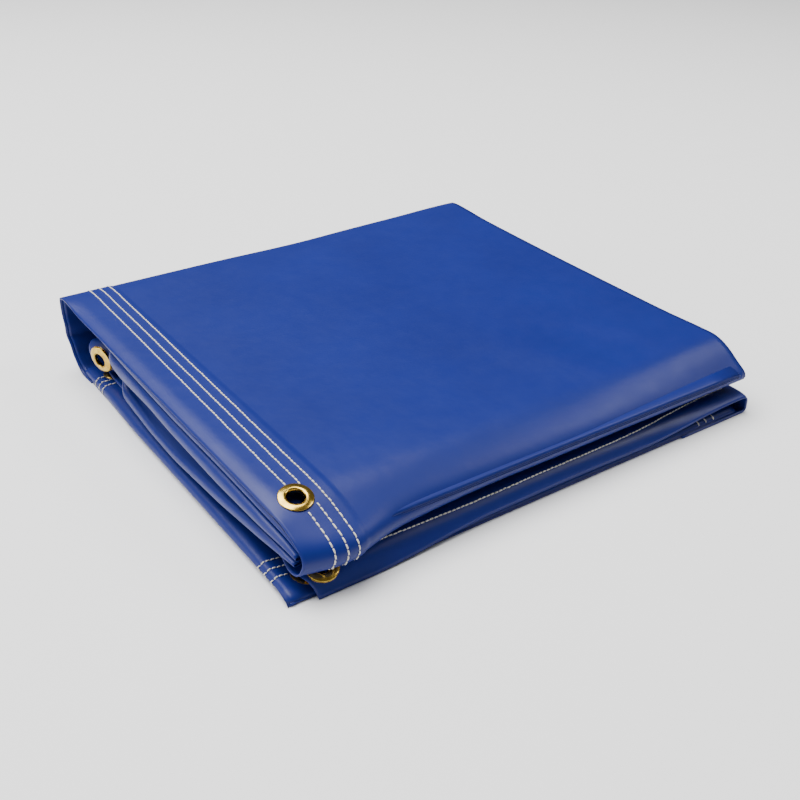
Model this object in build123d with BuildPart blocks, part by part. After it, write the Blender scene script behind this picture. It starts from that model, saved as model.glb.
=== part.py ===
from build123d import *
import math
import os

# A vinyl welding curtain, folded for storage: an accordion of panels whose folds run front
# to back, doubled over once about its back fold. Millimetres, +X along the front, +Y to the
# back fold, +Z up. The origin is the middle of the bundle's footprint, on the floor.

# ---- driving dimensions -------------------------------------------------------------------
WIDTH = 480.0  # left folds to right folds
DEPTH = 450.0  # front edge to back fold
PIVOT_Z = 40.5  # height of the fold that the upper half opens about
PLY = 1.5  # one modelled ply, the several thin layers that lie together there
HEM_WIDTH = 50.8
HEM_RAISE = 0.8  # extra thickness of the turned hem
THREAD_WIDTH = 1.2
THREAD_HEIGHT = 0.6
STITCH_ROWS = (30.0, 40.0, 49.5)  # rows of stitching, from the hem's edge
GROMMET_HOLE_R = 6.75
GROMMET_FLANGE_R = 13.5
GROMMET_WALL = 0.85
GROMMET_FLANGE = 1.0
GROMMET_INSET = 27.0  # hole centre, from the hem's edges
SPLIT = 0.3  # half the gap between the two halves at the back fold

# ---- places, counted from the front left corner of the footprint --------------------------
LEFT, FRONT = -WIDTH / 2, -DEPTH / 2

BASE_FRONT, BASE_BACK = 6.0, 423.0
BASE_COVER_TOP = 9.0
BASE_FOLD_X = THREAD_HEIGHT + BASE_COVER_TOP / 2
BASE_COVER_FRONT = 20.0
TUCKED_LEFT, TUCKED_RIGHT = 380.0, 474.0
TUCKED_RAISE = 0.5
WAIST_TOP = 21.0
WAIST_LEFT = 16.0
WAIST_RIGHT = WIDTH - WAIST_TOP / 2
WAIST_BACK = 360.0
HEM_FOOT = 1.8  # height of the drooping waist hem's lower edge
HEM_BEND = 34.0  # where the waist panel starts to droop
HEM_DROOP_RIGHT = 378.0
FLAP_BACK, FLAP_TOP = 404.0, 37.0
FILLER_LOW, FILLER_HIGH = 10.3, 18.7

ROLL_FRONT, ROLL_LOW = 18.0, 27.0  # foot of the front roll, the upper half's reference
UPPER_TILT = 2.3  # degrees, the upper half rises to the back
UPPER_TOP = 34.5
ROLL_START = 14.0
UPPER_DEPTH = 410.0
UPPER_LEFT, UPPER_FOLD_X = 2.0, 476.0
PLEATS = ((3.0, 7.0), (12.0, 11.0), (21.0, 5.0))  # lower face and left edge of each pleat
PLEAT_HEIGHT = 8.0
PLEAT_FRONT, PLEAT_BACK = 4.0, 395.0

TILT = math.radians(UPPER_TILT)
UPPER = Plane(
    origin=(LEFT, FRONT + ROLL_FRONT, ROLL_LOW),
    x_dir=(1, 0, 0),
    z_dir=(0, -math.sin(TILT), math.cos(TILT)),
)
UPPER_SIDE = Plane(UPPER.origin, x_dir=UPPER.y_dir, z_dir=UPPER.x_dir)
UPPER_END = Plane(UPPER.origin, x_dir=UPPER.x_dir, z_dir=-UPPER.y_dir)
FLOOR = Plane(origin=(LEFT, FRONT, 0))
SIDE = Plane(FLOOR.origin, x_dir=FLOOR.y_dir, z_dir=FLOOR.x_dir)
END = Plane(FLOOR.origin, x_dir=FLOOR.x_dir, z_dir=-FLOOR.y_dir)

os.makedirs("parts", exist_ok=True)


def save(piece, name):
    piece.part.label = name
    export_step(piece.part, f"parts/{name}.step")


def slab(level, left, right, front, back, thickness, hole=None):
    """A flat ply on a level plane, with an optional grommet hole through it."""
    with BuildPart() as piece:
        with BuildSketch(level):
            with Locations(((left + right) / 2, (front + back) / 2)):
                Rectangle(right - left, back - front)
            if hole:
                with Locations(hole):
                    Circle(GROMMET_HOLE_R + GROMMET_WALL, mode=Mode.SUBTRACT)
        extrude(amount=thickness)
    return piece


def folded(end, left, right, low, high, front, back):
    """Two plies joined by a round fold on the left."""
    radius, middle = (high - low) / 2, (high + low) / 2
    start = left + radius
    with BuildPart() as piece:
        with BuildSketch(end.offset(-front)):
            with BuildLine():
                Line((right, low), (start, low))
                ThreePointArc((start, low), (left, middle), (start, high))
                Line((start, high), (right, high))
                Line((right, high), (right, high - PLY))
                Line((right, high - PLY), (start, high - PLY))
                ThreePointArc((start, high - PLY), (left + PLY, middle), (start, low + PLY))
                Line((start, low + PLY), (right, low + PLY))
                Line((right, low + PLY), (right, low))
            make_face()
        extrude(amount=front - back)
    return piece


def half_ring(end, at, side, low, high, front, back):
    """A round fold between two plies; side is -1 for a left fold and 1 for a right one."""
    radius, middle = (high - low) / 2, (high + low) / 2
    with BuildPart() as piece:
        with BuildSketch(end.offset(-front)):
            with BuildLine():
                ThreePointArc((at, low), (at + side * radius, middle), (at, high))
                Line((at, high), (at, high - PLY))
                ThreePointArc((at, high - PLY), (at + side * (radius - PLY), middle), (at, low + PLY))
                Line((at, low + PLY), (at, low))
            make_face()
        extrude(amount=front - back)
    return piece


def bent_strip(side, outer, inner, left, right):
    """A ply bent round an axis along X, from two rows of arc points: start, middle, end."""
    with BuildPart() as piece:
        with BuildSketch(side.offset(left)):
            with BuildLine():
                for curve in (outer, inner):
                    for k in range(0, len(curve) - 1, 2):
                        ThreePointArc(*curve[k : k + 3])
                Line(outer[0], inner[0])
                Line(outer[-1], inner[-1])
            make_face()
        extrude(amount=right - left)
    return piece


def grommet(name, face, depth):
    """A brass eyelet on a face, and the washer that it is rolled over on the far side."""
    with BuildPart() as eyelet:
        with BuildSketch(face):
            Circle(GROMMET_FLANGE_R)
        extrude(amount=GROMMET_FLANGE)
        fillet(eyelet.edges().group_by(Axis(face.origin, face.z_dir))[-1], GROMMET_FLANGE * 0.6)
        with BuildSketch(face):
            Circle(GROMMET_HOLE_R + GROMMET_WALL)
        extrude(amount=-depth - GROMMET_FLANGE)
        with BuildSketch(face.offset(GROMMET_FLANGE)):
            Circle(GROMMET_HOLE_R)
        extrude(amount=-depth - 2 * GROMMET_FLANGE, mode=Mode.SUBTRACT)
    save(eyelet, f"{name}_grommet")
    with BuildPart() as washer:
        with BuildSketch(face.offset(-depth)):
            Circle(GROMMET_FLANGE_R)
            Circle(GROMMET_HOLE_R + GROMMET_WALL, mode=Mode.SUBTRACT)
        extrude(amount=-GROMMET_FLANGE)
    save(washer, f"{name}_washer")


def stitching(name, level, start, end):
    """A straight row of thread between two points of a face."""
    along_x = start[1] == end[1]
    size = (end[0] - start[0], THREAD_WIDTH) if along_x else (THREAD_WIDTH, end[1] - start[1])
    with BuildPart() as row:
        with BuildSketch(level):
            with Locations(((start[0] + end[0]) / 2, (start[1] + end[1]) / 2)):
                Rectangle(*size)
        extrude(amount=THREAD_HEIGHT)
    save(row, name)


# ---- lower half: the ply on the floor, its left fold and the ply that it comes back as ----
base_hole = (BASE_FOLD_X + 15.0, BASE_FRONT + GROMMET_INSET)
back_hole = (BASE_FOLD_X + 19.0, BASE_BACK - GROMMET_INSET)

save(slab(FLOOR, BASE_FOLD_X, WAIST_RIGHT, BASE_FRONT, BASE_BACK, PLY), "base_panel")
base_fold = half_ring(END, BASE_FOLD_X, -1, 0, BASE_COVER_TOP, BASE_FRONT, BASE_BACK)
save(base_fold, "base_left_fold")

with BuildPart() as base_cover:
    with BuildSketch(FLOOR.offset(BASE_COVER_TOP - PLY)):
        with Locations(((BASE_FOLD_X + TUCKED_LEFT) / 2, (BASE_COVER_FRONT + BASE_BACK) / 2)):
            Rectangle(TUCKED_LEFT - BASE_FOLD_X, BASE_BACK - BASE_COVER_FRONT)
        with Locations(base_hole, back_hole):
            Circle(GROMMET_HOLE_R + GROMMET_WALL, mode=Mode.SUBTRACT)
    extrude(amount=PLY)
save(base_cover, "base_cover")

with BuildPart() as tucked_strip:
    with BuildSketch(FLOOR.offset(BASE_COVER_TOP - PLY - TUCKED_RAISE)):
        with Locations(((TUCKED_LEFT + TUCKED_RIGHT) / 2, (BASE_FRONT + 2 + BASE_BACK) / 2)):
            Rectangle(TUCKED_RIGHT - TUCKED_LEFT, BASE_BACK - BASE_FRONT - 2)
    extrude(amount=PLY + 2 * TUCKED_RAISE)
    fillet(tucked_strip.edges().filter_by(Axis.Y).group_by(Axis.X)[-1], TUCKED_RAISE * 2)
save(tucked_strip, "tucked_strip")

# ---- lower half: filler plies, waist panel with its drooping hem, and the right fold ------
filler = folded(END, 40.0, 455.0, FILLER_LOW, FILLER_HIGH, 50.0, 350.0)
save(filler, "lower_filler")
waist_level = FLOOR.offset(WAIST_TOP - PLY)
waist_front = HEM_BEND + PLY * 0.6
save(slab(waist_level, WAIST_LEFT, WAIST_RIGHT, waist_front, WAIST_BACK, PLY), "waist_panel")
save(slab(waist_level, HEM_DROOP_RIGHT, WAIST_RIGHT, 2.0, HEM_BEND, PLY), "waist_end")
right_fold = half_ring(END, WAIST_RIGHT, 1, 0, WAIST_TOP, BASE_FRONT - 2, WAIST_BACK)
save(right_fold, "lower_right_fold")

droop = math.atan2(WAIST_TOP - HEM_FOOT, HEM_BEND)
droop_length = math.hypot(WAIST_TOP - HEM_FOOT, HEM_BEND)
HEM_SLOPE = Plane(
    origin=(LEFT, FRONT, HEM_FOOT),
    x_dir=(1, 0, 0),
    z_dir=(0, -math.sin(droop), math.cos(droop)),
)
waist_hole = (WAIST_LEFT + 22.0, GROMMET_INSET - 2.0)
save(
    slab(HEM_SLOPE, WAIST_LEFT, HEM_DROOP_RIGHT, 0, droop_length, -PLY, waist_hole),
    "waist_hem",
)

# ---- lower half: the ply that climbs to the back fold, and the fold's lower part ----------
climb = math.atan2(FLAP_TOP - WAIST_TOP, FLAP_BACK - WAIST_BACK)
climb_length = math.hypot(FLAP_TOP - WAIST_TOP, FLAP_BACK - WAIST_BACK)
FLAP = Plane(
    origin=(LEFT, FRONT + WAIST_BACK, WAIST_TOP),
    x_dir=(1, 0, 0),
    z_dir=(0, -math.sin(climb), math.cos(climb)),
)
flap_hole = (28.0, climb_length / 2)
save(slab(FLAP, 8.0, WAIST_RIGHT, 0, climb_length, -PLY, flap_hole), "inner_flap")


def back_fold(end, near_pivot, thickness):
    """Arc points from the pivot's height to a ply's end, upright where the halves meet."""
    reach, rise = DEPTH - end[0], end[1] - near_pivot
    radius = (reach**2 + rise**2) / (2 * reach)
    middle = math.copysign(math.atan2(abs(rise), radius - reach) / 2, rise)
    bulge = radius - thickness
    turn = (DEPTH - radius + bulge * math.cos(middle), near_pivot + bulge * math.sin(middle))
    return (DEPTH - thickness, near_pivot), turn


low_start, low_turn = back_fold((BASE_BACK, 0.0), PIVOT_Z - SPLIT, 0.0)
low_start_in, low_turn_in = back_fold((BASE_BACK, 0.0), PIVOT_Z - SPLIT, PLY)
spine_low_outer = [low_start, low_turn, (BASE_BACK, 0.0)]
spine_low_inner = [low_start_in, low_turn_in, (BASE_BACK, PLY)]
spine_lower = bent_strip(SIDE, spine_low_outer, spine_low_inner, BASE_FOLD_X, WAIST_RIGHT)
save(spine_lower, "back_fold_lower")

# ---- upper half: top panel with its hem, front roll, back fold and under panel ------------
top_hole = (UPPER_LEFT + GROMMET_INSET + 5.0, ROLL_START + 15.0)
top_level = UPPER.offset(UPPER_TOP - PLY)
hem_level = UPPER.offset(UPPER_TOP)
hem_right = UPPER_LEFT + HEM_WIDTH
top_panel = slab(top_level, UPPER_LEFT, UPPER_FOLD_X, ROLL_START, UPPER_DEPTH, PLY, top_hole)
save(top_panel, "top_panel")
top_hem = slab(hem_level, UPPER_LEFT, hem_right, ROLL_START, UPPER_DEPTH, HEM_RAISE, top_hole)
save(top_hem, "top_hem")
save(slab(UPPER, UPPER_LEFT + 8, UPPER_FOLD_X, 0, UPPER_DEPTH - 5, PLY), "under_panel")

roll_nose, roll_outer = (-14.0, 13.0), (-6.5, 27.5)
roll_foot, roll_turn = (0.0, 0.0), (-10.5, 3.5)
outer_roll = [(ROLL_START, UPPER_TOP), roll_outer, roll_nose, roll_turn, roll_foot]
inner_roll = [
    (ROLL_START, UPPER_TOP - PLY),
    (roll_outer[0] + PLY * 0.6, roll_outer[1] - PLY * 0.8),
    (roll_nose[0] + PLY, roll_nose[1]),
    (roll_turn[0] + PLY * 0.7, roll_turn[1] + PLY * 0.7),
    (roll_foot[0], PLY),
]
front_roll = bent_strip(UPPER_SIDE, outer_roll, inner_roll, UPPER_LEFT + 2, UPPER_FOLD_X)
save(front_roll, "front_roll")

outer_end = SIDE.to_local_coords(UPPER_SIDE.from_local_coords((UPPER_DEPTH, UPPER_TOP)))
inner_end = SIDE.to_local_coords(UPPER_SIDE.from_local_coords((UPPER_DEPTH, UPPER_TOP - PLY)))
up_start, up_turn = back_fold((outer_end.X, outer_end.Y), PIVOT_Z + SPLIT, 0.0)
up_start_in, up_turn_in = back_fold((outer_end.X, outer_end.Y), PIVOT_Z + SPLIT, PLY)
spine_up_outer = [up_start, up_turn, (outer_end.X, outer_end.Y)]
spine_up_inner = [up_start_in, up_turn_in, (inner_end.X, inner_end.Y)]
spine_upper = bent_strip(SIDE, spine_up_outer, spine_up_inner, UPPER_LEFT, UPPER_FOLD_X)
save(spine_upper, "back_fold_upper")

# ---- upper half: the pleats between, each one U fold on the left, and their right folds ---
for number, (low, left) in enumerate(PLEATS, 1):
    high = low + PLEAT_HEIGHT
    pleat = folded(UPPER_END, left, UPPER_FOLD_X, low, high, PLEAT_FRONT, PLEAT_BACK)
    save(pleat, f"pleat_{number}")

fold_edges = [0.0]
for low, _ in PLEATS:
    fold_edges += [low, low + PLEAT_HEIGHT]
fold_edges.append(UPPER_TOP)
for number in range(len(PLEATS) + 1):
    low = fold_edges[2 * number] - (PLY if number else 0)
    high = fold_edges[2 * number + 1] + (PLY if number < len(PLEATS) else 0)
    turn = half_ring(UPPER_END, UPPER_FOLD_X, 1, low, high, PLEAT_FRONT, PLEAT_BACK)
    save(turn, f"upper_right_fold_{number + 1}")

# ---- brass grommets -----------------------------------------------------------------------


def face_at(level, place):
    """The plane of a face, moved to a point of it."""
    return Plane(level.from_local_coords((*place, 0)), x_dir=level.x_dir, z_dir=level.z_dir)


grommet("top", face_at(UPPER.offset(UPPER_TOP + HEM_RAISE), top_hole), PLY + HEM_RAISE)
grommet("waist", face_at(HEM_SLOPE, waist_hole), PLY)
grommet("flap", face_at(FLAP, flap_hole), PLY)
grommet("base", face_at(FLOOR.offset(BASE_COVER_TOP), base_hole), PLY)
grommet("back", face_at(FLOOR.offset(BASE_COVER_TOP), back_hole), PLY)

# ---- rows of stitching --------------------------------------------------------------------
clear = GROMMET_FLANGE_R + 1.5
for number, inset in enumerate(STITCH_ROWS, 1):
    x = UPPER_LEFT + inset
    front = top_hole[1] + clear if number < 3 else ROLL_START
    row_level = UPPER.offset(UPPER_TOP + HEM_RAISE)
    stitching(f"top_stitch_{number}", row_level, (x, front), (x, UPPER_DEPTH - 1))

for number, inset in enumerate(STITCH_ROWS, 1):
    on_slope = inset < droop_length - 3
    left = waist_hole[0] + clear if on_slope else WAIST_LEFT + 2
    right = HEM_DROOP_RIGHT - 2 if on_slope else WAIST_RIGHT - 2
    level = HEM_SLOPE if on_slope else FLOOR.offset(WAIST_TOP)
    y = inset if on_slope else HEM_BEND + max(inset - droop_length, 0) + 2
    stitching(f"waist_stitch_{number}", level, (left, y), (right, y))

for number, inset in enumerate(STITCH_ROWS, 1):
    y = BASE_FRONT + inset - THREAD_WIDTH / 2
    middle, radius = BASE_COVER_TOP / 2, BASE_COVER_TOP / 2
    arcs = []
    for r in (radius, radius + THREAD_HEIGHT):
        turns = [math.radians(a) for a in (90, 157, 222)]
        arcs.append([(BASE_FOLD_X + r * math.cos(a), middle + r * math.sin(a)) for a in turns])
    with BuildPart() as wrap:
        with BuildSketch(END.offset(-y)):
            with BuildLine():
                for arc in arcs:
                    ThreePointArc(*arc)
                Line(arcs[0][0], arcs[1][0])
                Line(arcs[0][2], arcs[1][2])
            make_face()
        extrude(amount=-THREAD_WIDTH)
    save(wrap, f"base_stitch_{number}")

tucked_level = FLOOR.offset(BASE_COVER_TOP + TUCKED_RAISE)
for number, inset in enumerate(STITCH_ROWS, 1):
    x = TUCKED_RIGHT - inset
    stitching(f"tucked_stitch_{number}", tucked_level, (x, BASE_FRONT + 3), (x, BASE_BACK - 3))
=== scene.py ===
import bpy
import math
import numpy as np
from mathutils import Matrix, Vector


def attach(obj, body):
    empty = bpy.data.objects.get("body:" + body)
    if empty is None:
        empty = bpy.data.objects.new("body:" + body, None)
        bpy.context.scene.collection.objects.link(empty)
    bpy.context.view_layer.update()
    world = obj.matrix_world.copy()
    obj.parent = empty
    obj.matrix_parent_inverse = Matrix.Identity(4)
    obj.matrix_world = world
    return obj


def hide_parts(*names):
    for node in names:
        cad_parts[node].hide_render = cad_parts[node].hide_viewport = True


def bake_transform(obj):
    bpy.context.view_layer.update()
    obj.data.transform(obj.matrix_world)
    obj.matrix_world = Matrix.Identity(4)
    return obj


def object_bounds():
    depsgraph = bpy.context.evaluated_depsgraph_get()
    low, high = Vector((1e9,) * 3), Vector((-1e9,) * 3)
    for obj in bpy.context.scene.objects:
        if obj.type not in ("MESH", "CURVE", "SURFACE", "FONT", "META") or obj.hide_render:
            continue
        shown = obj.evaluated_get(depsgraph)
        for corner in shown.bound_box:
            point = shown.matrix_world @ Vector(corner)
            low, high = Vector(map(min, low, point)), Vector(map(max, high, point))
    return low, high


# The looks of a folded vinyl welding curtain. Lengths are in millimetres, counted from the
# footprint's front left corner on the floor. new_object turns them into metres in the row frame.
# On every ply, u is the place across the cloth, v the place along it, both in millimetres.

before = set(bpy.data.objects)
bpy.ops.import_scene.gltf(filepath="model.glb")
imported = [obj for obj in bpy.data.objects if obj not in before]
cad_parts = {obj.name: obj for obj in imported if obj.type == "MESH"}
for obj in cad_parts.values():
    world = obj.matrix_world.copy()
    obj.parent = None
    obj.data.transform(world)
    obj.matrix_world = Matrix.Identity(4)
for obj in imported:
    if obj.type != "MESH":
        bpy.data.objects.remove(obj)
cad_low, cad_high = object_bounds()

MM = 0.001
LOWER, UPPER = "lower_half", "upper_half"
CORNER = np.array([cad_low.x, cad_low.y, 0.0])
PLY, HEM = 0.6, 1.5  # thickness of a plain ply and of a turned hem
HEM_FLAT, HEM_GONE = 50.5, 53.0  # a hem is full to the first of these, and gone at the second
STITCH_ROWS = (30.0, 40.0, 49.5)  # distances from the hem's edge
STITCH_PITCH, STITCH_SHARE = 4.1, 0.47  # from stitch to stitch, and half a stitch's share of it
STITCH_RADIUS, STITCH_SWAY = 0.62, 0.10
STITCH_RING, STITCH_STATIONS = 7, 7
GROMMET_INSET = 28.0
GROMMET_HOLE, GROMMET_RIM = 6.75, 13.5
CUT_REACH, CUT_EDGE = 1.5, 1.2  # faces are cut to the first past the hole, and then drawn to the second
LATHE_TURNS = 72


# ---- materials ----------------------------------------------------------------------------
class Shader:
    """A node material, with short calls to add and join its nodes."""

    def __init__(self, name):
        self.material = bpy.data.materials.new(name)
        self.material.use_nodes = True
        self.nodes = self.material.node_tree.nodes
        self.links = self.material.node_tree.links
        self.skin = self.nodes["Principled BSDF"]

    def add(self, kind, **values):
        node = self.nodes.new("ShaderNode" + kind)
        for key, value in values.items():
            if key in node.inputs:
                node.inputs[key].default_value = value
            else:
                setattr(node, key, value)
        return node

    def join(self, source, target):
        self.links.new(source, target)

    def cloth(self):
        return self.add("Attribute", attribute_name="cloth").outputs["Vector"]

    def place(self):
        return self.add("TexCoord").outputs["Object"]

    def noise(self, where, scale, detail=3.0, roughness=0.5):
        node = self.add("TexNoise", Scale=scale, Detail=detail, Roughness=roughness)
        self.join(where, node.inputs["Vector"])
        return node.outputs["Fac"]

    def ramp(self, value, low, high):
        node = self.add("MapRange")
        node.inputs["To Min"].default_value = low
        node.inputs["To Max"].default_value = high
        self.join(value, node.inputs["Value"])
        return node.outputs["Result"]

    def math(self, operation, a, b):
        node = self.add("Math", operation=operation)
        for socket, value in zip(node.inputs, (a, b)):
            if isinstance(value, (int, float)):
                socket.default_value = value
            else:
                self.join(value, socket)
        return node.outputs["Value"]

    def bump(self, height, distance, strength=1.0, below=None):
        node = self.add("Bump", Strength=strength, Distance=distance)
        self.join(height, node.inputs["Height"])
        if below:
            self.join(below, node.inputs["Normal"])
        return node.outputs["Normal"]

    def colours(self, value, *stops):
        node = self.add("ValToRGB")
        ramp = node.color_ramp
        for element, (place, colour) in zip(ramp.elements, (stops[0], stops[-1])):
            element.position, element.color = place, (*colour, 1)
        for place, colour in stops[1:-1]:
            ramp.elements.new(place).color = (*colour, 1)
        self.join(value, node.inputs["Fac"])
        return node.outputs["Color"]


def vinyl_material():
    """Satin blue vinyl over a fine woven scrim."""
    s = Shader("vinyl_blue")
    cloth = s.cloth()
    tone = s.noise(cloth, 9.0, 4.0, 0.55)
    blues = ((0.25, (0.0026, 0.0105, 0.1380)), (0.75, (0.0034, 0.0135, 0.1650)))
    s.join(s.colours(tone, *blues), s.skin.inputs["Base Color"])
    rough = s.ramp(s.noise(cloth, 55.0, 5.0, 0.6), 0.36, 0.48)
    s.join(rough, s.skin.inputs["Roughness"])
    s.skin.inputs["Specular IOR Level"].default_value = 0.34
    threads = []
    for direction in ("X", "Y"):
        wave = s.add("TexWave", Scale=230.0, Distortion=0.6, bands_direction=direction)
        wave.inputs["Detail"].default_value = 1.0
        s.join(cloth, wave.inputs["Vector"])
        threads.append(wave.outputs["Fac"])
    weave = s.math("MAXIMUM", *threads)
    slow = s.bump(s.noise(cloth, 26.0, 3.0, 0.5), 0.0011, 0.55)
    grain = s.bump(s.noise(cloth, 900.0, 2.0, 0.5), 0.00004, 0.35, slow)
    s.join(s.bump(weave, 0.00003, 0.35, grain), s.skin.inputs["Normal"])
    return s.material


def thread_material():
    """Twisted off-white sewing thread."""
    s = Shader("thread_white")
    cloth = s.cloth()
    shade = s.noise(cloth, 700.0, 3.0, 0.6)
    creams = ((0.3, (0.62, 0.58, 0.47)), (0.7, (0.86, 0.83, 0.74)))
    s.join(s.colours(shade, *creams), s.skin.inputs["Base Color"])
    s.join(s.ramp(shade, 0.55, 0.8), s.skin.inputs["Roughness"])
    twist = s.add("TexWave", Scale=420.0, Distortion=1.5, bands_direction="DIAGONAL")
    s.join(cloth, twist.inputs["Vector"])
    s.join(s.bump(twist.outputs["Fac"], 0.00012, 0.7), s.skin.inputs["Normal"])
    s.skin.inputs["Sheen Weight"].default_value = 0.2
    return s.material


def brass_material():
    """Polished brass with fine scratches and a little tarnish."""
    s = Shader("brass_polished")
    place = s.place()
    stain = s.noise(place, 160.0, 4.0, 0.6)
    golds = ((0.3, (0.50, 0.30, 0.05)), (0.65, (0.78, 0.53, 0.10)))
    s.join(s.colours(stain, *golds), s.skin.inputs["Base Color"])
    s.skin.inputs["Metallic"].default_value = 1.0
    s.join(s.ramp(s.noise(place, 420.0, 5.0, 0.7), 0.10, 0.30), s.skin.inputs["Roughness"])
    scratch = s.bump(s.noise(place, 1500.0, 2.0, 0.8), 0.00003, 0.25)
    dents = s.bump(s.noise(place, 240.0, 2.0, 0.5), 0.0001, 0.3, scratch)
    s.join(dents, s.skin.inputs["Normal"])
    return s.material


def floor_material():
    """Plain and pale."""
    s = Shader("floor_pale")
    s.skin.inputs["Base Color"].default_value = (0.93, 0.93, 0.93, 1)
    s.skin.inputs["Roughness"].default_value = 0.7
    return s.material


VINYL, THREAD, BRASS = vinyl_material(), thread_material(), brass_material()


# ---- curves and surfaces ------------------------------------------------------------------
def spline(points, count):
    """count points, evenly spaced, on a smooth Hermite curve through the given ones."""
    p = np.asarray(points, float)
    at = np.r_[0, np.cumsum(np.sqrt(np.linalg.norm(np.diff(p, axis=0), axis=1)))]
    slope = np.gradient(p, at, axis=0)
    fine = np.linspace(0, at[-1], 60 * len(p))
    k = np.clip(np.searchsorted(at, fine, side="right") - 1, 0, len(p) - 2)
    h = (at[k + 1] - at[k])[:, None]
    t = ((fine - at[k]) / h[:, 0])[:, None]
    curve = (2 * t**3 - 3 * t**2 + 1) * p[k] + (t**3 - 2 * t**2 + t) * h * slope[k]
    curve += (3 * t**2 - 2 * t**3) * p[k + 1] + (t**3 - t**2) * h * slope[k + 1]
    return evenly(curve, count)


def evenly(curve, count):
    """The same curve with count points, evenly spaced along it."""
    run = np.r_[0, np.cumsum(np.linalg.norm(np.diff(curve, axis=0), axis=1))]
    even = np.linspace(0, run[-1], count)
    return np.stack([np.interp(even, run, column) for column in curve.T], axis=1)


def length_of(curve):
    return float(np.linalg.norm(np.diff(curve, axis=0), axis=1).sum())


def step(low, high, x):
    """0 at low and 1 at high, with a smooth way between them, and level past both."""
    t = np.clip((x - low) / (high - low), 0, 1)
    return t * t * (3 - 2 * t)


def hill(x, middle, width):
    """A smooth bump of height 1 around the middle."""
    return np.exp(-(((x - middle) / width) ** 2))


def hem_at(distance):
    """1 on the hem, 0 past it, by the distance from the cloth's edge."""
    return 1 - step(HEM_FLAT, HEM_GONE, distance)


class Ply:
    """A curved piece of the sheet: a grid of points, with the u of each row and the v of each
    column. Its outer side is the one that (along v) x (along u) points to."""

    def __init__(self, grid, u, v):
        self.grid = np.asarray(grid, float)
        self.u, self.v = np.asarray(u, float), np.asarray(v, float)

    def normals(self):
        du = np.gradient(self.grid, axis=0)
        dv = np.gradient(self.grid, axis=1)
        n = np.cross(dv, du)
        return n / np.maximum(np.linalg.norm(n, axis=2, keepdims=True), 1e-9)

    def raised(self, amount):
        """The same ply, moved outwards by an amount, one number or one for each point."""
        amount = np.broadcast_to(amount, self.grid.shape[:2])[..., None]
        return Ply(self.grid + self.normals() * amount, self.u, self.v)

    def part(self, first, last):
        """The stretch of it between two places along the path."""
        keep = (self.v >= first) & (self.v <= last)
        return Ply(self.grid[:, keep], self.u, self.v[keep])

    def at(self, u, v):
        """Points and normals at places on the cloth."""
        u, v = np.atleast_1d(u).astype(float), np.atleast_1d(v).astype(float)
        i = np.interp(u, self.u, np.arange(len(self.u)))
        j = np.interp(v, self.v, np.arange(len(self.v)))
        i0 = np.clip(i.astype(int), 0, len(self.u) - 2)
        j0 = np.clip(j.astype(int), 0, len(self.v) - 2)
        a, b = (i - i0)[:, None], (j - j0)[:, None]
        out = []
        for field in (self.grid, self.normals()):
            near = field[i0, j0] * (1 - a) + field[i0 + 1, j0] * a
            far = field[i0, j0 + 1] * (1 - a) + field[i0 + 1, j0 + 1] * a
            out.append(near * (1 - b) + far * b)
        return out[0], out[1] / np.linalg.norm(out[1], axis=1, keepdims=True)


def new_object(name, points, faces, material, cloth=None):
    """A smooth mesh object. cloth gives each point's place for the textures, if not its own."""
    mesh = bpy.data.meshes.new(name)
    mesh.from_pydata((np.asarray(points) * MM + CORNER).tolist(), [], faces)
    mesh.update()
    mesh.polygons.foreach_set("use_smooth", [True] * len(mesh.polygons))
    if cloth is None:
        cloth = np.asarray(points)
    layer = mesh.attributes.new("cloth", "FLOAT_VECTOR", "POINT")
    layer.data.foreach_set("vector", (np.asarray(cloth) * MM).astype(np.float32).ravel())
    mesh.materials.append(material)
    thing = bpy.data.objects.new(name, mesh)
    bpy.context.scene.collection.objects.link(thing)
    return thing


def sheet(name, ply, hem=None, holes=(), thickness=PLY):
    """A ply as a piece with a thickness. hem is 1 where it is turned and 0 elsewhere."""
    rows, columns = ply.grid.shape[:2]
    u, v = np.meshgrid(ply.u, ply.v, indexing="ij")
    gone = np.zeros((rows - 1, columns - 1), bool)
    points = ply.grid.copy()
    for hu, hv in holes:
        middle_u, middle_v = (u[1:, 1:] + u[:-1, :-1]) / 2, (v[1:, 1:] + v[:-1, :-1]) / 2
        cut = np.hypot(middle_u - hu, middle_v - hv) < GROMMET_HOLE + CUT_REACH
        gone |= cut
        edge = np.zeros((rows, columns), int)
        for a in (0, 1):
            for b in (0, 1):
                edge[a : rows - 1 + a, b : columns - 1 + b] += cut
        on_edge = (edge > 0) & (edge < 4)
        angle = np.arctan2(v[on_edge] - hv, u[on_edge] - hu)
        radius = GROMMET_HOLE + CUT_EDGE
        points[on_edge] = ply.at(hu + radius * np.cos(angle), hv + radius * np.sin(angle))[0]
    number = np.arange(rows * columns).reshape(rows, columns)
    quads = np.stack(
        [number[:-1, :-1], number[:-1, 1:], number[1:, 1:], number[1:, :-1]], axis=2
    )[~gone]
    used, quads = np.unique(quads, return_inverse=True)
    quads = quads.reshape(-1, 4)
    cloth = np.stack([u, v, np.zeros_like(u)], axis=2).reshape(-1, 3)[used]
    piece = new_object(name, points.reshape(-1, 3)[used], quads.tolist(), VINYL, cloth)
    solid = piece.modifiers.new("thickness", "SOLIDIFY")
    solid.thickness = (thickness if hem is None else HEM) * MM
    solid.offset = -1
    solid.use_even_offset = False
    if hem is not None:
        group = piece.vertex_groups.new(name="hem")
        share = thickness / HEM
        weights = (share + (1 - share) * hem).reshape(-1)[used]
        for index, weight in enumerate(weights):
            group.add([index], float(weight), "REPLACE")
        solid.vertex_group = "hem"
    return piece


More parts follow.
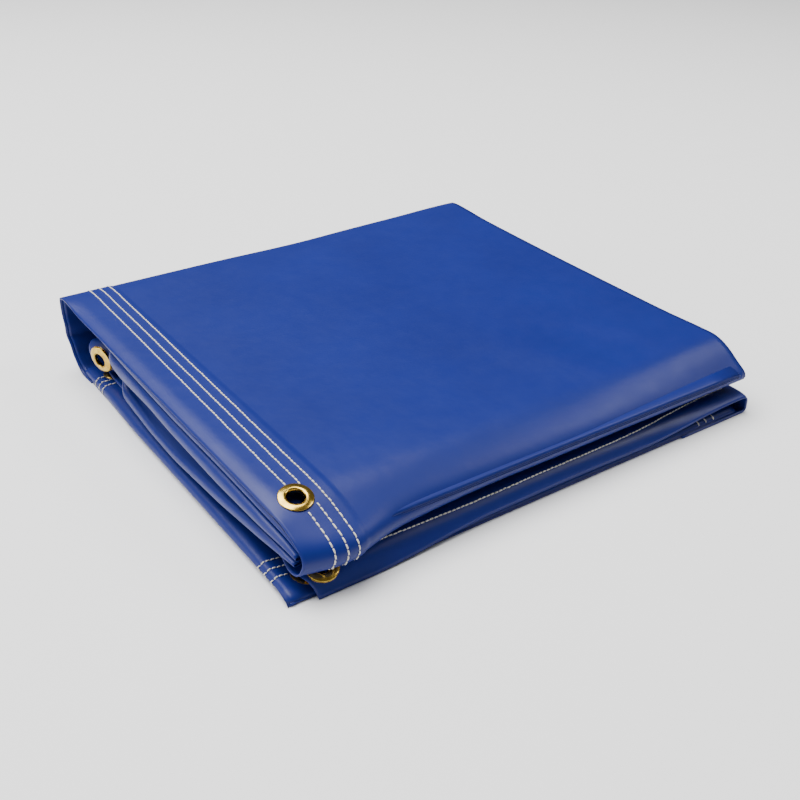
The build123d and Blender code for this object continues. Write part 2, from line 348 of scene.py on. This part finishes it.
# ---- stitches and grommets ----------------------------------------------------------------
def stitches(name, ply, route, gaps=()):
    """A row of lockstitches along a route over the cloth, left out near the gaps' middles."""
    route = np.asarray(route, float)
    run = np.r_[0, np.cumsum(np.linalg.norm(np.diff(route, axis=0), axis=1))]
    count = int(run[-1] / STITCH_PITCH)
    ring, stations = STITCH_RING, STITCH_STATIONS
    points, faces, cloth = [], [], []
    rng = np.random.default_rng(len(name) * 31 + count)
    for k in range(count):
        middle = (k + 0.5) * STITCH_PITCH
        where = [np.interp(middle, run, route[:, c]) for c in (0, 1)]
        if any(math.hypot(where[0] - g[0], where[1] - g[1]) < GROMMET_RIM + 0.2 for g in gaps):
            continue
        t = np.linspace(-1, 1, stations)
        along = np.clip(middle + t * STITCH_PITCH * STITCH_SHARE, 0, run[-1])
        sway = rng.normal(0, STITCH_SWAY)
        uv = np.stack([np.interp(along, run, route[:, c]) for c in (0, 1)], axis=1)
        centre, normal = ply.at(uv[:, 0], uv[:, 1])
        forward = np.gradient(centre, axis=0)
        forward /= np.linalg.norm(forward, axis=1, keepdims=True)
        across = np.cross(normal, forward)
        width = STITCH_RADIUS * np.sqrt(np.clip(1 - 0.80 * t**4, 0.05, 1))
        lift = 0.42 - 0.75 * np.abs(t) ** 5
        centre = centre + normal * lift[:, None] + across * (sway + 0.06 * t[:, None])
        base = len(points)
        for s in range(stations):
            for r in range(ring):
                a = 2 * math.pi * r / ring
                off = across[s] * math.cos(a) + normal[s] * math.sin(a) * 0.8
                points.append(centre[s] + off * width[s])
                cloth.append((along[s], a * 0.6, k * 3.0))
        for s in range(stations - 1):
            for r in range(ring):
                a, b = base + s * ring + r, base + s * ring + (r + 1) % ring
                faces.append((a, b, b + ring, a + ring))
        faces.append(tuple(base + r for r in reversed(range(ring))))
        faces.append(tuple(base + (stations - 1) * ring + r for r in range(ring)))
    return new_object(name, points, faces, THREAD, cloth)


def riding_row(name, ply, route, body, gaps=(), node=None):
    """A row of stitches that rides a body, and may stand for a CAD node."""
    row = stitches(name, ply, route, gaps)
    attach(row, body)
    if node:
        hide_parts(node)


def lathe(name, profile, centre, normal):
    """A closed ring profile of (radius, height) turned about an axis."""
    profile = spline([*profile, profile[0]], 40)[:-1]
    normal = np.asarray(normal) / np.linalg.norm(normal)
    side = np.cross(normal, (0.0, 1.0, 0.2))
    side /= np.linalg.norm(side)
    other = np.cross(normal, side)
    turns, count = LATHE_TURNS, len(profile)
    points = []
    for k in range(turns):
        a = 2 * math.pi * k / turns
        out = side * math.cos(a) + other * math.sin(a)
        points += [centre + out * r + normal * h for r, h in profile]
    faces = []
    for k in range(turns):
        for i in range(count):
            a, b = k * count + i, k * count + (i + 1) % count
            c, d = (k + 1) % turns * count + (i + 1) % count, (k + 1) % turns * count + i
            faces.append((a, d, c, b))
    return new_object(name, points, faces, BRASS)


def grommet(name, ply, u, v, body, deep=HEM):
    """An eyelet with a rolled flange on the outer side, and its washer on the inner side."""
    (centre,), (normal,) = ply.at(u, v)
    hole, rim = GROMMET_HOLE, GROMMET_RIM
    eyelet = [
        (hole + 0.1, -deep - 1.5),
        (hole, -deep),
        (hole + 0.05, -0.2),
        (hole + 0.5, 0.75),
        (hole + 1.5, 1.25),
        (hole + 3.6, 1.15),
        (rim - 1.6, 0.75),
        (rim - 0.2, 0.2),
        (rim, -0.15),
        (rim - 1.2, 0.05),
        (hole + 1.7, 0.2),
        (hole + 0.9, -0.6),
        (hole + 0.7, -deep - 1.3),
    ]
    washer = [
        (hole + 0.9, -deep - 1.5),
        (hole + 2.0, -deep - 1.5),
        (rim - 1.6, -deep - 0.9),
        (rim - 0.1, -deep - 0.2),
        (rim - 0.4, -deep + 0.05),
        (hole + 2.0, -deep - 0.2),
        (hole + 0.9, -deep - 0.9),
    ]
    for label, profile in (("grommet", eyelet), ("washer", washer)):
        piece = lathe(f"{name}_{label}_brass", profile, centre, normal)
        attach(piece, body)
        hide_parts(f"{name}_{label}")


# ---- the cover: base back edge, back fold, top panel, front roll and the ply under it -----
COVER_WIDTH = 478.0
COVER_STEPS = 330
HEM_RISE = 0.7
NOSE_BULGE, EDGE_DROOP = 10.5, 3.4
# Sections of the cover as (y, z), at its left edge, towards the middle and at its right edge. Each
# goes up the back fold, over the top, round the front roll and back along the underside.
SPINE = [(405, 0.8), (428, 2.5), (438, 12), (447, 27), (450, 40.5)]
RETURN = [(110, 28.5), (240, 33), (385, 39.5), (408, 41)]
LEFT_PATH = SPINE + [
    (451.5, 56), (451.5, 69), (449.5, 75), (441, 76.6), (380, 75.2), (240, 70.4), (110, 65), (62, 62),
    (44, 59.5), (26, 52.5), (13, 43), (7, 33), (9, 24.5), (18, 21.5), (38, 23), (70, 26),
] + RETURN
MIDDLE_PATH = SPINE + [
    (452, 56), (452.5, 70), (450.5, 76.6), (442, 78.2), (380, 76), (240, 70.4), (110, 65), (62, 62.5),
    (43, 60), (28, 53.5), (16, 45.5), (9.5, 36.5), (13, 29.5), (24, 26.8), (44, 26.6), (70, 28),
] + RETURN
RIGHT_PATH = SPINE + [
    (452.5, 56), (453.5, 71), (453, 79.6), (446, 82), (380, 77.5), (240, 70.8), (110, 66), (66, 65),
    (47, 63.2), (35, 56.6), (23.5, 46.4), (12.6, 35), (12.2, 31), (22, 28.8), (44, 28.5), (70, 29.5),
] + RETURN
# The x of the cover's left and right edges at the points of those sections.
LEFT_EDGE = [
    4, 3, 2, 1, 0, 0, 0, 0, 0.5, 1.5, 4, 6.5, 8, 9, 11, 12.5, 12.5, 9.5, 9, 13, 20, 24, 24, 20, 16
]
RIGHT_EDGE = [
    474, 474, 475, 476, 477, 478, 478, 479, 479, 479, 480, 480, 481, 482, 484, 486, 488, 485, 480,
    478, 476, 476, 476, 476, 476
]


def cover_ply():
    paths = []
    for path, edge in ((LEFT_PATH, LEFT_EDGE), (MIDDLE_PATH, LEFT_EDGE), (RIGHT_PATH, RIGHT_EDGE)):
        paths.append(spline([(x, y, z) for (y, z), x in zip(path, edge)], COVER_STEPS))
    left, middle, right = paths
    v = np.linspace(0, length_of(middle[:, 1:]), COVER_STEPS)
    u = np.r_[np.arange(0, 66, 2.2), np.linspace(68, COVER_WIDTH, 74)]
    share = (u / COVER_WIDTH)[:, None, None]
    to_left = 1 - step(0.0, 0.40, share)
    to_right = step(0.55, 1.0, share)
    grid = left * to_left + right * to_right + middle * (1 - to_left - to_right)
    grid[..., 0] = left[:, 0] + share[..., 0] * (right[:, 0] - left[:, 0])
    y, z = grid[..., 1], grid[..., 2]
    # The roll bulges forwards near its left end, and the cover's left edge droops.
    nose = hill(u, 36, 34)[:, None] * hill(y, 8, 16) * (1 - step(40, 58, z)) * step(18, 26, z)
    grid[..., 1] -= NOSE_BULGE * nose
    edge = (1 - np.clip(u / 14, 0, 1))[:, None] ** 2 * step(54, 62, z) * (1 - step(400, 440, y))
    grid[..., 2] -= EDGE_DROOP * edge
    return Ply(grid, u, v)


def cover_relief(ply):
    """How far the cover's soft wrinkles and creases stand outwards."""
    u, v = np.meshgrid(ply.u, ply.v, indexing="ij")
    y, z = ply.grid[..., 1], ply.grid[..., 2]
    on_top = step(30, 90, y) * step(50, 60, z)
    relief = 0.5 * np.sin(u / 61 + 1.1 * np.sin(v / 83)) * np.sin(v / 97 + 0.6)
    relief += 0.35 * np.sin(u / 27 + v / 49) * hill(u, 330, 140)
    # One slanting ridge and the hollow beside it, near the front right.
    relief += 1.6 * hill(u - 0.45 * (v - 480), 330, 26) * hill(y, 90, 60)
    relief -= 1.2 * hill(u - 0.45 * (v - 480), 385, 24) * hill(y, 110, 60)
    relief *= 0.35 + 0.65 * on_top
    # Level creases of the back fold, on its left end.
    wall = step(405, 440, y) * step(90, 10, u)
    relief -= 2.2 * wall * (hill(z, 46, 7) + hill(z, 26, 6)) - 1.0 * wall * hill(z, 36, 5)
    return relief


def place_on_cover(u, y):
    """How far along the cover's path it reaches a distance from the front, on its top."""
    row = cover.grid[int(np.interp(u, cover.u, np.arange(len(cover.u))))]
    top = row[:, 2] > 50
    order = np.argsort(row[top, 1])
    return float(np.interp(y, row[top, 1][order], cover.v[top][order]))


def row_drift(v):
    """How far the rows have come nearer the cut edge, from 0 at the back to 1 at the front."""
    return step(100, roll_foot - 60, v)


cover = cover_ply()
hem_share = hem_at(cover.u)[:, None]
cover = cover.raised(cover_relief(cover) + HEM_RISE * hem_share)
hem_grid = np.broadcast_to(hem_share, cover.grid.shape[:2])
top_hole = (23.0, place_on_cover(23.0, 44.0))

# The cover is one piece as far as roll_foot, the first place behind the roll's underside, and
# under_ply from there on.
section = cover.grid[60]
under_roll = (section[:, 1] > 55) & (section[:, 2] < 35) & (cover.v > 500)
roll_foot = float(cover.v[np.argmax(under_roll)])
shown = cover.v <= roll_foot
cover_front = Ply(cover.grid[:, shown], cover.u, cover.v[shown])
cover_piece = sheet("cover_ply", cover_front, hem_grid[:, shown], [top_hole])
under = cover.v >= cover.v[shown][-1]
under_ply = Ply(cover.grid[:, under], cover.u, cover.v[under])
under_piece = sheet("under_ply", under_ply, hem_grid[:, under])

grommet("top", cover, *top_hole, UPPER)

# The rows start just above the floor, and come nearer the cut edge towards the front.
ROW_START, ROW_DRIFT = 28, 5.5
bending = []
for number, inset in enumerate(STITCH_ROWS, 1):
    route = [
        (inset - 1.5 - ROW_DRIFT * row_drift(v), v) for v in np.arange(ROW_START, roll_foot - 2, 3.0)
    ]
    row = stitches(f"top_row_{number}", cover, route, [top_hole])
    bending.append(row)
    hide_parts(f"top_stitch_{number}")
    route = [(inset - 7.0, v) for v in np.arange(roll_foot, cover.v[-1] - 4, 4.0)]
    riding_row(f"under_row_{number}", cover, route, UPPER)

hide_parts("top_panel", "top_hem", "front_roll", "back_fold_upper", "back_fold_lower")
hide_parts("under_panel")
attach(under_piece, UPPER)

# The ply inside the back fold, nested in the cover. It stands back from the cover's left edge
# and falls short of its right edge.
NESTED_GAP = 4.2
nested_end = place_on_cover(200, 392.0)
nested = cover.part(0, nested_end).raised(-NESTED_GAP)
nested.grid[..., 0] += 2.5 * (1 - nested.u / COVER_WIDTH * 1.8)[:, None]
nested_piece = sheet("nested_ply", nested)

# ---- the upper pleats: one ply folded to and fro, its left turns showing as soft bands ----
# The x of the rows of points along a pass, closer together towards the left nose.
DEEP = np.array([
    474, 440, 380, 300, 220, 150, 100, 70, 52, 42, 35, 30, 26, 23, 20, 17.5, 15, 13, 11.0,
])
NOSE_BLEND = 24  # how far in from a nose its heights become those deep inside


def zigzag(turns, right_end, y):
    """A ply folded to and fro across X. Each turn has rows over y: the left nose's place,
    the heights of its upper and lower pass at the nose, and both heights deep inside."""
    rows = []
    for index, (nose, high, low, deep_high, deep_low) in enumerate(turns):
        radius = (high - low) / 2
        passes = []
        for x in DEEP:
            inner = step(nose + radius, nose + radius + NOSE_BLEND, x)
            above = high * (1 - inner) + deep_high * inner
            below = low * (1 - inner) + deep_low * inner
            passes.append((np.maximum(x, nose + radius), above, below))
        rows += [np.stack([x, y, above], 1) for x, above, _ in passes]
        for angle in np.linspace(0, math.pi, 15)[1:-1]:
            across = nose + radius - radius * math.sin(angle)
            rows.append(np.stack([across, y, (high + low) / 2 + radius * math.cos(angle)], 1))
        rows += [np.stack([x, y, below], 1) for x, _, below in passes[::-1]]
        if index + 1 == len(turns):
            break
        above, below = deep_low, turns[index + 1][3]
        half = (above - below) / 2
        for angle in np.linspace(0, math.pi, 11)[1:-1]:
            across = right_end + half * math.sin(angle)
            rows.append(np.stack([across, y, (above + below) / 2 + half * math.cos(angle)], 1))
    grid = np.array(rows)
    steps = np.median(np.linalg.norm(np.diff(grid, axis=0), axis=2), axis=1) + 1e-4
    return Ply(grid, np.r_[0, np.cumsum(steps)], y)


def over(y, *pairs):
    """A smooth run of values over y, close to (y, value) pairs."""
    at, values = zip(*sorted(pairs))
    plain = np.interp(y, at, values)
    for _ in range(10):
        plain[1:-1] = (plain[:-2] + 2 * plain[1:-1] + plain[2:]) / 4
    return plain


pleat_y = np.linspace(9, 384, 150)
# The height of the cover over the pleats, just inside the hem.
section = cover.grid[int(np.searchsorted(cover.u, 60.0))]
on_top = (section[:, 2] > 33) & (cover.v < roll_foot) & (section[:, 1] < 420) & (cover.v > 80)
ceiling = np.interp(pleat_y, section[on_top, 1][::-1], section[on_top, 2][::-1])
# The soft bands from the top down. Each has (y, value) pairs for the x of its nose, and for the
# heights of its upper and its lower side.
BANDS = (
    (
        ((384, 5), (300, 3.5), (200, 4.5), (115, 6.5), (50, 8), (24, 11), (9, 13)),
        ((384, 72), (308, 71), (200, 65.5), (115, 61.5), (50, 56.0), (24, 48.5), (9, 42)),
        ((384, 65), (308, 62.5), (200, 56.5), (115, 53), (50, 49.5), (24, 45), (9, 39)),
    ),
    (
        ((384, 30), (364, 24), (343, 4), (200, 2), (115, 3), (50, 4.5), (24, 7.5), (9, 10)),
        ((384, 62), (344, 61), (308, 60.5), (200, 55.5), (115, 52), (50, 48.5), (24, 44), (9, 38)),
        (
            (384, 54), (364, 53), (343, 46), (317, 39), (246, 44), (200, 42), (115, 38), (50, 38.5),
            (24, 37), (9, 34),
        ),
    ),
    (
        ((384, 34), (352, 26), (330, 8), (254, 4), (200, 2.5), (115, 2.5), (50, 4), (20, 6.5), (9, 8.5)),
        ((384, 51), (350, 46), (327, 28), (254, 26), (200, 27), (115, 33), (50, 37.5), (24, 36), (9, 33)),
        (
            (384, 46), (350, 38), (327, 15), (254, 15.5), (200, 16.5), (115, 22), (50, 28),
            (20, 30.5), (9, 30),
        ),
    ),
)
# Deep inside, the plies lie close under the cover, and lower where it drops at the front.
PASS_GAP = 2.3
sunk = 2.4 + 11.0 * hill(pleat_y, 40, 18)
closing = 0.35 + 0.65 * step(10, 60, pleat_y)
turns = []
for index, (nose, high, low) in enumerate(BANDS):
    deep = [ceiling - sunk - PASS_GAP * (2 * index + k) * closing for k in (0, 1)]
    turns.append((over(pleat_y, *nose), over(pleat_y, *high), over(pleat_y, *low), *deep))
pleats = zigzag(turns, 474.0, pleat_y)
pleat_piece = sheet("pleated_ply", pleats)
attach(pleat_piece, UPPER)
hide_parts("pleat_1", "pleat_2", "pleat_3")
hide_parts(*(f"upper_right_fold_{k}" for k in (1, 2, 3, 4)))

# ---- the base: the ply on the floor, its left fold and the strip tucked in on the right ---
BASE_FRONT, BASE_BACK = 6.0, 423.0


def base_ply():
    """Round the left fold, from the tucked strip's end above to the floor. It is drawn as one
    closed-up section at each y, curled down at the front and pulled in at the back."""
    rows = []
    y = np.r_[np.linspace(BASE_FRONT, 26, 14), np.linspace(30, BASE_BACK, 80)]
    for place in y:
        middle = math.sin(math.pi * (place - BASE_FRONT) / (BASE_BACK - BASE_FRONT)) ** 0.7
        curl = math.sqrt(1 - (1 - min(1, (place - BASE_FRONT) / 12)) ** 2)
        top = 1.4 + (7.1 + 3.0 * middle) * curl
        sag = 3.4 * curl * math.exp(-(((place - 34) / 40) ** 2))
        wave = 0.6 * math.sin(place / 37)
        tip = 0.2 - 1.6 * math.exp(-(((place - BASE_FRONT) / 14) ** 2)) + 5.0 * step(280, 400, place)
        section = [
            (474, top - 1.0), (462, top - 0.4), (400, top - 0.6), (250, top - 0.6), (90, top),
            (40, top + 0.4 - sag), (17, top + 0.4 + wave - sag), (5, top - 0.8), (tip, top * 0.5),
            (4, 1.3), (16, 0.8), (60, 0.75), (240, 0.75), (452, 0.75),
        ]
        rows.append(spline([(x, place, z) for x, z in section], 150))
    grid = np.array(rows).transpose(1, 0, 2)
    middle_row = grid[:, len(y) // 2]
    u = np.r_[0, np.cumsum(np.linalg.norm(np.diff(middle_row, axis=0), axis=1))]
    return Ply(grid, u, y)


base = base_ply()
fold_u = float(base.u[int(np.argmin(base.grid[:, 40, 0]))])
base_hole = (fold_u - GROMMET_INSET + 1, BASE_FRONT + GROMMET_INSET - 8)
back_hole = (fold_u - GROMMET_INSET + 2, BASE_BACK - GROMMET_INSET)
base_hem = np.maximum(hem_at(base.v - BASE_FRONT)[None, :], hem_at(base.u)[:, None])
base_piece = sheet("base_ply", base, base_hem, [base_hole, back_hole])
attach(base_piece, LOWER)
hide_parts("base_panel", "base_left_fold", "base_cover", "tucked_strip")
grommet("base", base, *base_hole, LOWER)
grommet("back", base, *back_hole, LOWER)
for number, inset in enumerate(STITCH_ROWS, 1):
    v = BASE_FRONT + inset - 5
    route = [(u, v) for u in np.arange(fold_u - 60, fold_u + 9, 3.0)]
    riding_row(f"base_row_{number}", base, route, LOWER, [base_hole], f"base_stitch_{number}")
    route = [(inset, place) for place in np.arange(BASE_FRONT + 1, BASE_BACK - 4, 4.0)]
    riding_row(f"tucked_row_{number}", base, route, LOWER, (), f"tucked_stitch_{number}")
    route = [(u, BASE_BACK - inset) for u in np.arange(fold_u - 70, fold_u + 6, 3.0)]
    riding_row(f"back_cross_row_{number}", base, route, LOWER, [back_hole])
    route = [(fold_u - inset, place) for place in np.arange(BASE_BACK - 90, BASE_BACK - 3, 4.0)]
    riding_row(f"back_down_row_{number}", base, route, LOWER, [back_hole])

# ---- the lower pleat, between the base and the waist --------------------------------------
low_y = np.linspace(24, 396, 90)
rise = np.sin(np.pi * (low_y - 24) / 372) ** 0.6
low_top, low_foot = 12.6 + 5.2 * rise, 10.8 + 1.0 * rise
low_pleat = zigzag([(20.0 - 6.0 * rise, low_top, low_foot, low_top, low_foot)], 452.0, low_y)
low_piece = sheet("lower_pleat_ply", low_pleat)
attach(low_piece, LOWER)
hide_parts("lower_filler")

# ---- the waist: drooping front hem, flat top, right C fold, and the climb at the back -----
# Its sections as (y, z), near the left, in the middle and at the right, from the hem's cut edge
# at the front to where it climbs at the back.
WAIST_LEFT, WAIST_RIGHT = 23.0, 473.0
WAIST_STEPS, FOLD_BULGE = 150, 13.0
WAIST_BACK = [(44, 21.4), (120, 21.8), (240, 21.4), (345, 21.2), (372, 24.5), (396, 31.5), (410, 37)]
WAIST_LEFT_PATH = [(0.6, 0.8), (2.8, 4), (5.6, 9), (9, 14), (14, 17.8), (24, 20.4)] + WAIST_BACK
WAIST_PATH = [(5, 7.2), (6, 9.5), (8, 12.8), (11, 16.2), (15.5, 18.8), (24, 20.6)] + WAIST_BACK
WAIST_RIGHT_PATH = [
    (4, 16.5), (5.5, 17.8), (8.5, 19), (13, 19.9), (18, 20.4), (26, 20.7), (46, 21), (120, 21), (240, 21),
    (345, 21), (372, 23), (396, 27), (410, 29),
]


def waist_ply():
    left, middle, right = (
        spline(path, WAIST_STEPS) for path in (WAIST_LEFT_PATH, WAIST_PATH, WAIST_RIGHT_PATH)
    )
    v = np.linspace(0, length_of(left), WAIST_STEPS)
    rows, u = [], []
    for x in np.r_[np.arange(WAIST_LEFT, 80, 2.6), np.linspace(82, WAIST_RIGHT, 60)]:
        to_left = 1 - step(60, 190, x)
        to_right = step(350, WAIST_RIGHT, x)
        path = left * to_left + right * to_right + middle * (1 - to_left - to_right)
        sag = 0.8 * math.sin(x / 34) * hill(v, 12, 14) * (1 - to_right)
        edge = WAIST_LEFT - 10 * step(0, 18, path[:, 0]) + 6 * step(40, 80, path[:, 0])
        across = edge + (x - WAIST_LEFT) / (WAIST_RIGHT - WAIST_LEFT) * (WAIST_RIGHT - edge)
        rows.append(np.stack([across, path[:, 0], path[:, 1] + sag], 1))
        u.append(x - WAIST_LEFT)
    # The C fold on the right, squarer than a half circle, and the short return under it.
    half = (right[:, 1] - PLY) / 2
    for angle in np.linspace(0, math.pi, 25)[1:]:
        bulge = FOLD_BULGE * math.sin(angle) ** 0.35
        height = PLY + half * (1 + math.copysign(abs(math.cos(angle)) ** 0.55, math.cos(angle)))
        rows.append(np.stack([WAIST_RIGHT + bulge + 0 * half, right[:, 0], height], 1))
        u.append(u[-1] + 1.8)
    for x in np.linspace(WAIST_RIGHT - 6, 400, 10):
        rows.append(np.stack([x + 0 * half, right[:, 0], 0.62 + 0 * half], 1))
        u.append(u[-1] + 7.0)
    return Ply(np.array(rows)[:, ::-1], u, v)


waist = waist_ply()
waist_length = waist.v[-1]
waist_hem = np.broadcast_to(hem_at(waist_length - waist.v)[None, :], waist.grid.shape[:2])
waist_hole = (18.5, waist_length - GROMMET_INSET + 6)
waist_piece = sheet("waist_ply", waist, waist_hem, [waist_hole])
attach(waist_piece, LOWER)
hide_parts("waist_panel", "waist_end", "waist_hem", "lower_right_fold")
grommet("waist", waist, *waist_hole, LOWER)
for number, inset in enumerate(STITCH_ROWS, 1):
    route = [
        (u, waist_length - inset + 7 + 8 * step(40, 170, u) - 6 * step(250, 430, u))
        for u in np.arange(2, 452, 4.0)
    ]
    riding_row(f"waist_row_{number}", waist, route, LOWER, [waist_hole], f"waist_stitch_{number}")

# ---- the flap of hem inside the back fold's open end --------------------------------------
# Points (x, y, z) from its front end to its back end, one row for each height from the top down.
FLAP_HOLE = (30.0, 17.0)
FLAP_STEPS = 40
FLAP_NET = [
    [(50, 352, 44), (42, 372, 45), (33, 392, 45), (28, 408, 42)],
    [(36, 350, 44), (28, 370, 46), (19, 390, 46), (12, 407, 43)],
    [(29, 350, 38), (20, 370, 39), (12, 388, 37), (8, 403, 36)],
    [(29, 350, 28), (21, 370, 28), (14, 386, 27), (11, 400, 27)],
    [(34, 350, 22), (28, 370, 20), (23, 384, 18), (21, 396, 18)],
]


def flap_ply():
    columns = [spline(row, FLAP_STEPS) for row in FLAP_NET]
    grid = np.array([spline([c[k] for c in columns], FLAP_STEPS) for k in range(FLAP_STEPS)])
    u = np.linspace(0, length_of(grid[FLAP_STEPS // 2]), FLAP_STEPS)
    v = np.linspace(0, length_of(grid[:, FLAP_STEPS // 2]), FLAP_STEPS)
    return Ply(grid.transpose(1, 0, 2)[:, ::-1], u, v)


flap = flap_ply()
flap_piece = sheet("flap_ply", flap, np.ones(flap.grid.shape[:2]), [FLAP_HOLE])
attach(flap_piece, LOWER)
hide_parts("inner_flap")
grommet("flap", flap, *FLAP_HOLE, LOWER)
for number, inset in enumerate(STITCH_ROWS[:2], 1):
    route = [(u, inset + 3) for u in np.arange(4, flap.u[-1] - 2, 3.0)]
    riding_row(f"flap_row_{number}", flap, route, LOWER)

# ---- the pieces over the back fold: their transforms baked into their meshes --------------
for piece in (cover_piece, nested_piece, *bending):
    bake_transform(piece)


# ---- floor, light and camera --------------------------------------------------------------
def stage():
    """A plain pale floor and a dim white world."""
    side = 6.0
    mesh = bpy.data.meshes.new("floor")
    corners = [(-side, -side, 0), (side, -side, 0), (side, side, 0), (-side, side, 0)]
    mesh.from_pydata(corners, [], [(0, 1, 2, 3)])
    mesh.materials.append(floor_material())
    floor = bpy.data.objects.new("floor", mesh)
    bpy.context.scene.collection.objects.link(floor)
    world = bpy.data.worlds.new("studio")
    bpy.context.scene.world = world
    world.use_nodes = True
    light = world.node_tree.nodes["Background"].inputs
    light["Color"].default_value = (1, 1, 1, 1)
    light["Strength"].default_value = 0.12


def area_light(name, place, target, size, power):
    """A soft rectangular light at a place in metres, turned to a target."""
    data = bpy.data.lights.new(name, "AREA")
    data.shape = "RECTANGLE"
    data.size, data.size_y = size
    data.energy = power
    lamp = bpy.data.objects.new(name, data)
    lamp.location = place
    lamp.rotation_euler = (Vector(target) - Vector(place)).to_track_quat("-Z", "Y").to_euler()
    bpy.context.scene.collection.objects.link(lamp)


SENSOR, FOCAL_SHARE = 36.0, 1020.0 / 800.0  # the focal length is a share of the sensor's width
CAMERA_PLACE = (-0.488, -0.715, 0.475)
CAMERA_YAW, CAMERA_PITCH = math.radians(55.3), math.radians(29.3)


def camera():
    """A camera that looks down from the front left."""
    data = bpy.data.cameras.new("camera")
    data.sensor_width = SENSOR
    data.lens = FOCAL_SHARE * SENSOR
    data.clip_start, data.clip_end = 0.01, 50
    eye = bpy.data.objects.new("camera", data)
    yaw, pitch = CAMERA_YAW, CAMERA_PITCH
    level = math.cos(pitch)
    ahead = Vector((math.cos(yaw) * level, math.sin(yaw) * level, -math.sin(pitch)))
    eye.location = CAMERA_PLACE
    eye.rotation_euler = ahead.to_track_quat("-Z", "Y").to_euler()
    bpy.context.scene.collection.objects.link(eye)
    bpy.context.scene.camera = eye


stage()
area_light("key", (-0.7, 1.2, 4.0), (0, 0.2, 0), (3.8, 4.0), 460)
area_light("left", (-2.4, 0.7, 1.0), (0, 0, 0.03), (1.6, 2.0), 30)
area_light("right", (1.55, -0.75, 1.6), (0.1, 0, 0), (0.9, 0.9), 16)
camera()
